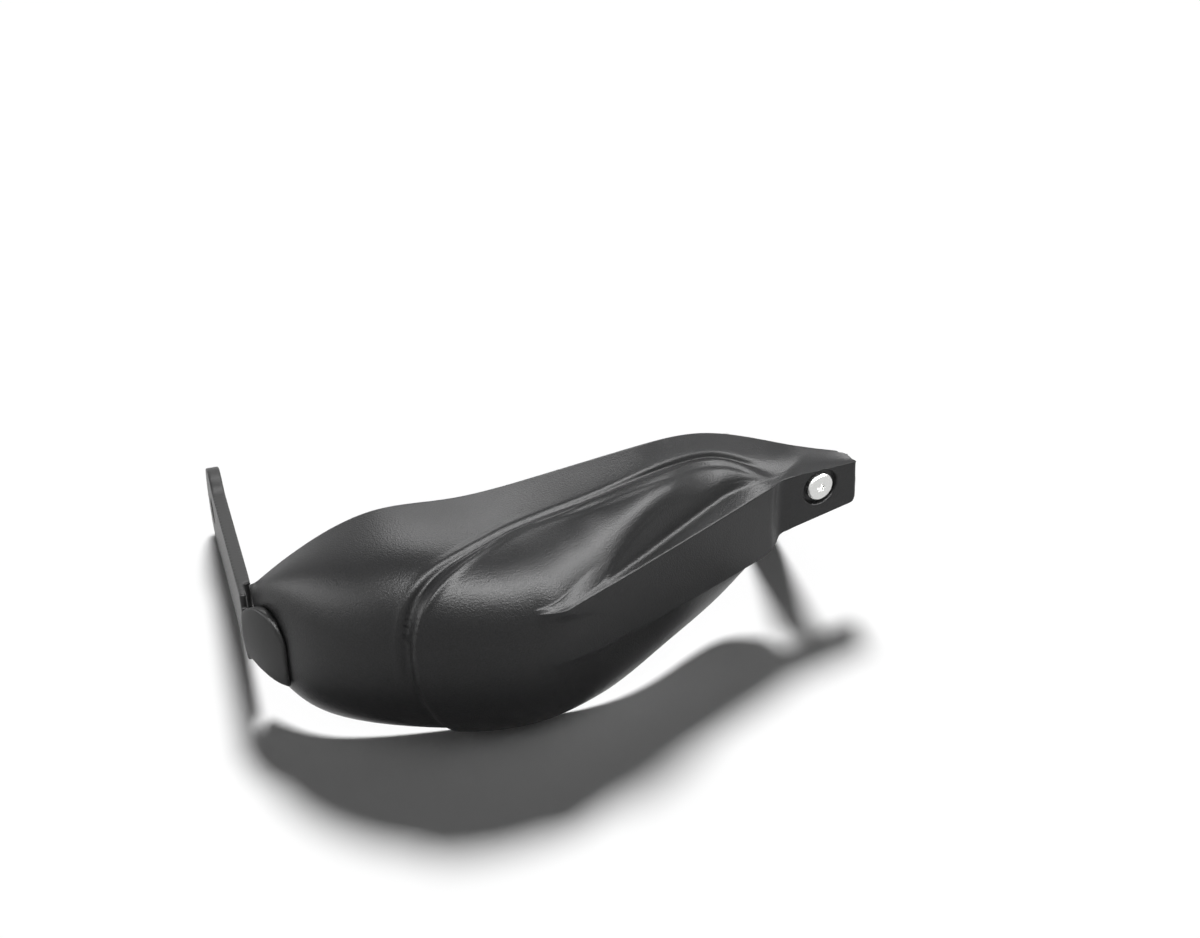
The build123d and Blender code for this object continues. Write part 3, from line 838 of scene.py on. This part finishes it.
# Clamp bolt
# A steel bolt with a round head under the bracket's plate; its free thread stands up as the clamp's stud.
# Turned, with a rolled M6 thread and a bevelled tip, zinc plated bright.
STUD_MID = np.array(frame["record"]["mounts"][1]["pos_m"]) / MM
STUD_AXIS = np.array(frame["record"]["mounts"][1]["axis"])
THREAD_R = 3.0
THREAD_CUT = 0.3
THREAD_PITCH = 1.0
THREAD_HALF = 5.65
THREAD_SIDES = 48
RINGS_PER_PITCH = 8
STUD_BEVEL = 0.7
STUD_RUNOUT = 0.5
BOLT_SHANK_R = 2.7
BOLT_HEAD_R = 5.25
BOLT_HEAD_H = 3.3
BOLT_HEAD_EDGE = 0.5
BOLT_SEAT_IN = 0.3
BOLT_SEAT_DOWN = 0.4
RECESS_R = 3.25
RECESS_LEAN = 0.4
RECESS_DEPTH = 0.5
SPACER_H = 8.0
STRIP_THICK = 3.5
spacer_top = -THREAD_HALF - STUD_RUNOUT
plate_under = spacer_top - SPACER_H - STRIP_THICK
turns = np.arange(THREAD_SIDES) / THREAD_SIDES
thread_rings = []
for at in np.arange(-THREAD_HALF, THREAD_HALF + 0.01, THREAD_PITCH / RINGS_PER_PITCH):
    wave = np.abs(((at / THREAD_PITCH - turns) % 1.0) - 0.5) * 2
    fade = min(1.0, (THREAD_HALF + at) / THREAD_PITCH)
    thread_rings.append((THREAD_R - THREAD_CUT * fade * wave, at))
head_under = plate_under - BOLT_HEAD_H
bolt_rings = [(RECESS_R - RECESS_LEAN, head_under + RECESS_DEPTH), (RECESS_R, head_under)]
bolt_rings += [(BOLT_HEAD_R - BOLT_HEAD_EDGE, head_under), (BOLT_HEAD_R, head_under + BOLT_HEAD_EDGE)]
bolt_rings += [(BOLT_HEAD_R, plate_under - BOLT_SEAT_DOWN), (BOLT_HEAD_R - BOLT_SEAT_IN, plate_under)]
bolt_rings += [(BOLT_SHANK_R, plate_under), (BOLT_SHANK_R, spacer_top)] + thread_rings
bolt_rings += [(THREAD_R - STUD_BEVEL, THREAD_HALF + STUD_BEVEL)]
bolt = turned("stud_bolt", bolt_rings, STUD_MID, STUD_AXIS, sides=THREAD_SIDES)
bolt.data.set_sharp_from_angle(angle=math.radians(35))
zinc = speckled("bright_zinc", colour=(0.7, 0.7, 0.7), dark=(0.58, 0.58, 0.58), light=(0.8, 0.8, 0.8),
                rough=0.26, polish=(0.22, 0.32), speckle=0.0009, detail=3.0, relief=0.1, depth=0.0001,
                metal=1.0)
bolt.data.materials.append(zinc)
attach(bolt, "root")
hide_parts("clamp_bolt")

# Clamp spacer
# A hexagon spacer round the bolt, which keeps the clamp off the bracket's plate.
# Cut from hexagon bar with bevelled corners and blackened.
SPACER_FLAT = 6.5
SPACER_BEVEL = 0.6
SPACER_BORE = 3.3
CORNER_CUT = 0.15
BORE_BEVEL = 0.3
sixth = math.pi / 3
hexagon = SPACER_FLAT / np.cos((turn + sixth / 2) % sixth - sixth / 2)
bevelled = np.minimum(hexagon, SPACER_FLAT + CORNER_CUT)
spacer_under = spacer_top - SPACER_H
spacer = turned("hex_spacer", [
    (SPACER_BORE, spacer_under + BORE_BEVEL), (SPACER_BORE + BORE_BEVEL, spacer_under),
    (bevelled, spacer_under), (hexagon, spacer_under + SPACER_BEVEL),
    (hexagon, spacer_top - SPACER_BEVEL), (bevelled, spacer_top),
    (SPACER_BORE + BORE_BEVEL, spacer_top), (SPACER_BORE, spacer_top - BORE_BEVEL),
], STUD_MID, STUD_AXIS, closed=True)
spacer.data.set_sharp_from_angle(angle=math.radians(30))
black = speckled("black_oxide", colour=(0.02, 0.02, 0.02), dark=(0.012, 0.012, 0.013),
                 light=(0.035, 0.035, 0.036), rough=0.35, polish=(0.28, 0.42), speckle=0.0012, detail=3.0,
                 relief=0.15, depth=0.0001, metal=0.4)
spacer.data.materials.append(black)
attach(spacer, "root")
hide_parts("clamp_spacer")

# Arm washers and arm screws
# Two stainless pan-head screws with hexagon sockets, each with a turned washer under its head.
# They go from inside through the shell's wall, which has a flat seat for each, into the arm's foot.
ARM_SCREW_U = 7.74
ARM_SCREW_T = (-0.3, 0.1)
SPOT_FACE = 0.5
WASHER_R = 5.5
WASHER_BORE = 2.75
WASHER_T = 1.0
WASHER_BORE_EDGE = 0.1
WASHER_LOW_EDGE = 0.15
WASHER_TOP_EDGE = 0.25
ARM_HEAD_R = 4.75
ARM_HEAD_H = 2.7
ARM_SHANK_R = 2.45
ARM_TIP = 0.4
ARM_REACH = 6.0
ARM_SOCKET = 1.5
ARM_SOCKET_EDGE = 0.2
ARM_SOCKET_FLOOR = 0.9
ARM_SOCKET_POINT = 0.6
# Pan head in pairs: how far in from its rim and how far up from the washer
PAN_HEAD = ((0.15, 0.0), (0.0, 0.2), (0.0, 1.3), (0.5, 2.2), (1.3, ARM_HEAD_H))
socket = ARM_SOCKET / np.cos((turn + sixth / 2) % sixth - sixth / 2)
washer_rings = [(WASHER_BORE, WASHER_BORE_EDGE), (WASHER_BORE + WASHER_BORE_EDGE, 0.0)]
washer_rings += [(WASHER_R - WASHER_LOW_EDGE, 0.0), (WASHER_R, WASHER_LOW_EDGE)]
washer_rings += [(WASHER_R, WASHER_T - WASHER_TOP_EDGE), (WASHER_R - WASHER_TOP_EDGE, WASHER_T)]
washer_rings += [(WASHER_BORE + WASHER_BORE_EDGE, WASHER_T), (WASHER_BORE, WASHER_T - WASHER_BORE_EDGE)]
head_top = WASHER_T + ARM_HEAD_H
arm_screw_rings = [(ARM_SHANK_R - ARM_TIP, -ARM_REACH), (ARM_SHANK_R, -ARM_REACH + ARM_TIP)]
arm_screw_rings += [(ARM_SHANK_R, WASHER_T)]
arm_screw_rings += [(ARM_HEAD_R - back, WASHER_T + up) for back, up in PAN_HEAD]
arm_screw_rings += [(socket + ARM_SOCKET_EDGE, head_top), (socket, head_top - ARM_SOCKET_EDGE)]
arm_screw_rings += [(socket, WASHER_T + ARM_SOCKET_FLOOR), (POINT_R, WASHER_T + ARM_SOCKET_POINT)]
kinds = (("washer", washer_rings, True, "arm_washers"), ("screw", arm_screw_rings, False, "arm_screws"))
for number, t in enumerate(ARM_SCREW_T, 1):
    at = np.array(ARM_SCREW_U), np.array(t)
    face_in = -outward(*at)
    seat = skin(*at) + face_in * (WALL - SPOT_FACE)
    for name, profile, shut, node in kinds:
        piece = turned(f"arm_{name}_{number}", profile, seat, face_in, closed=shut)
        piece.data.set_sharp_from_angle(angle=math.radians(35))
        piece.data.materials.append(steel)
        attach(piece, "root")
        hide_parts(node)

# Floor, light and camera
# A white sheet under the guard, lit by a broad lamp from above and behind, which throws the shadows.
# Four soft boxes show in the gloss alone. The camera stands where the photograph was taken from.
SHEET = 30000.0
sheet = mesh_object("floor", np.array([(-SHEET, -SHEET, FLOOR), (SHEET, -SHEET, FLOOR),
                                       (SHEET, SHEET, FLOOR), (-SHEET, SHEET, FLOOR)]), [(0, 1, 2, 3)])
white, tree, shader = material("white_floor", (0.88, 0.88, 0.88), 0.9)
shader.inputs["Specular IOR Level"].default_value = 0.0
sheet.data.materials.append(white)

# The sky lights matte faces a little, and shows in full to the camera, in gloss and through clear pieces
SKY_FILL = 0.1
SKY_SEEN = 1.0
world = bpy.data.worlds.new("studio")
world.use_nodes = True
bpy.context.scene.world = world
sky = world.node_tree
path = sky.nodes.new("ShaderNodeLightPath")
strength = sky.nodes.new("ShaderNodeMix")
strength.inputs["A"].default_value = SKY_FILL
strength.inputs["B"].default_value = SKY_SEEN
camera_or_gloss = sky.nodes.new("ShaderNodeMath")
camera_or_gloss.operation = "MAXIMUM"
sky.links.new(path.outputs["Is Camera Ray"], camera_or_gloss.inputs[0])
sky.links.new(path.outputs["Is Glossy Ray"], camera_or_gloss.inputs[1])
shows = sky.nodes.new("ShaderNodeMath")
shows.operation = "MAXIMUM"
sky.links.new(camera_or_gloss.outputs[0], shows.inputs[0])
sky.links.new(path.outputs["Is Transmission Ray"], shows.inputs[1])
sky.links.new(shows.outputs[0], strength.inputs["Factor"])
sky.links.new(strength.outputs["Result"], sky.nodes["Background"].inputs["Strength"])
sky.nodes["Background"].inputs["Color"].default_value = (1, 1, 1, 1)

LAMP_AIM = Vector((0.13, -0.14, 0.03))
LAMP_DISTANCE = 1.3


def soft_lamp(name, azimuth, elevation, width, height, radiance):
    """Soft box seen in gloss alone, its place and spread in degrees as seen from the guard."""
    a, e = math.radians(azimuth), math.radians(elevation)
    lamp = bpy.data.lights.new(name, "AREA")
    lamp.shape = "RECTANGLE"
    lamp.size = 2 * LAMP_DISTANCE * math.tan(math.radians(width / 2))
    lamp.size_y = 2 * LAMP_DISTANCE * math.tan(math.radians(height / 2))
    lamp.energy = radiance * math.pi * lamp.size * lamp.size_y
    holder = bpy.data.objects.new(name, lamp)
    away = Vector((math.sin(a) * math.cos(e), -math.cos(a) * math.cos(e), math.sin(e)))
    holder.location = LAMP_AIM + away * LAMP_DISTANCE
    holder.rotation_euler = away.to_track_quat("Z", "Y").to_euler()
    holder.visible_diffuse = False
    bpy.context.scene.collection.objects.link(holder)


soft_lamp("front_box", -5, 46, 55, 25, 22)
soft_lamp("right_box", 60, 35, 52, 26, 18)
soft_lamp("left_box", -90, 12, 60, 30, 5.5)
soft_lamp("rear_box", 165, 50, 44, 20, 10)
KEY_ENERGY = 4.1
KEY_SPREAD = math.radians(15)
KEY_WAY = Vector((-0.17, -0.72, -1.0))
key = bpy.data.lights.new("key", "SUN")
key.energy = KEY_ENERGY
key.angle = KEY_SPREAD
key_holder = bpy.data.objects.new("key", key)
key_holder.rotation_euler = KEY_WAY.to_track_quat("-Z", "Y").to_euler()
key_holder.visible_glossy = False
bpy.context.scene.collection.objects.link(key_holder)

CAMERA_PLACE = (-0.0434, -0.7745, 0.5146)
CAMERA_AIM = (0.1955, 0.0138, -0.0218)
LENS = 56.97
SENSOR = 36.0
camera = bpy.data.objects.new("camera", bpy.data.cameras.new("camera"))
camera.data.lens = LENS
camera.data.sensor_width = SENSOR
camera.location = CAMERA_PLACE
camera.rotation_euler = (Vector(CAMERA_AIM) - Vector(CAMERA_PLACE)).to_track_quat("-Z", "Y").to_euler()
bpy.context.scene.collection.objects.link(camera)
bpy.context.scene.camera = camera
bpy.context.scene.view_settings.view_transform = "Standard"
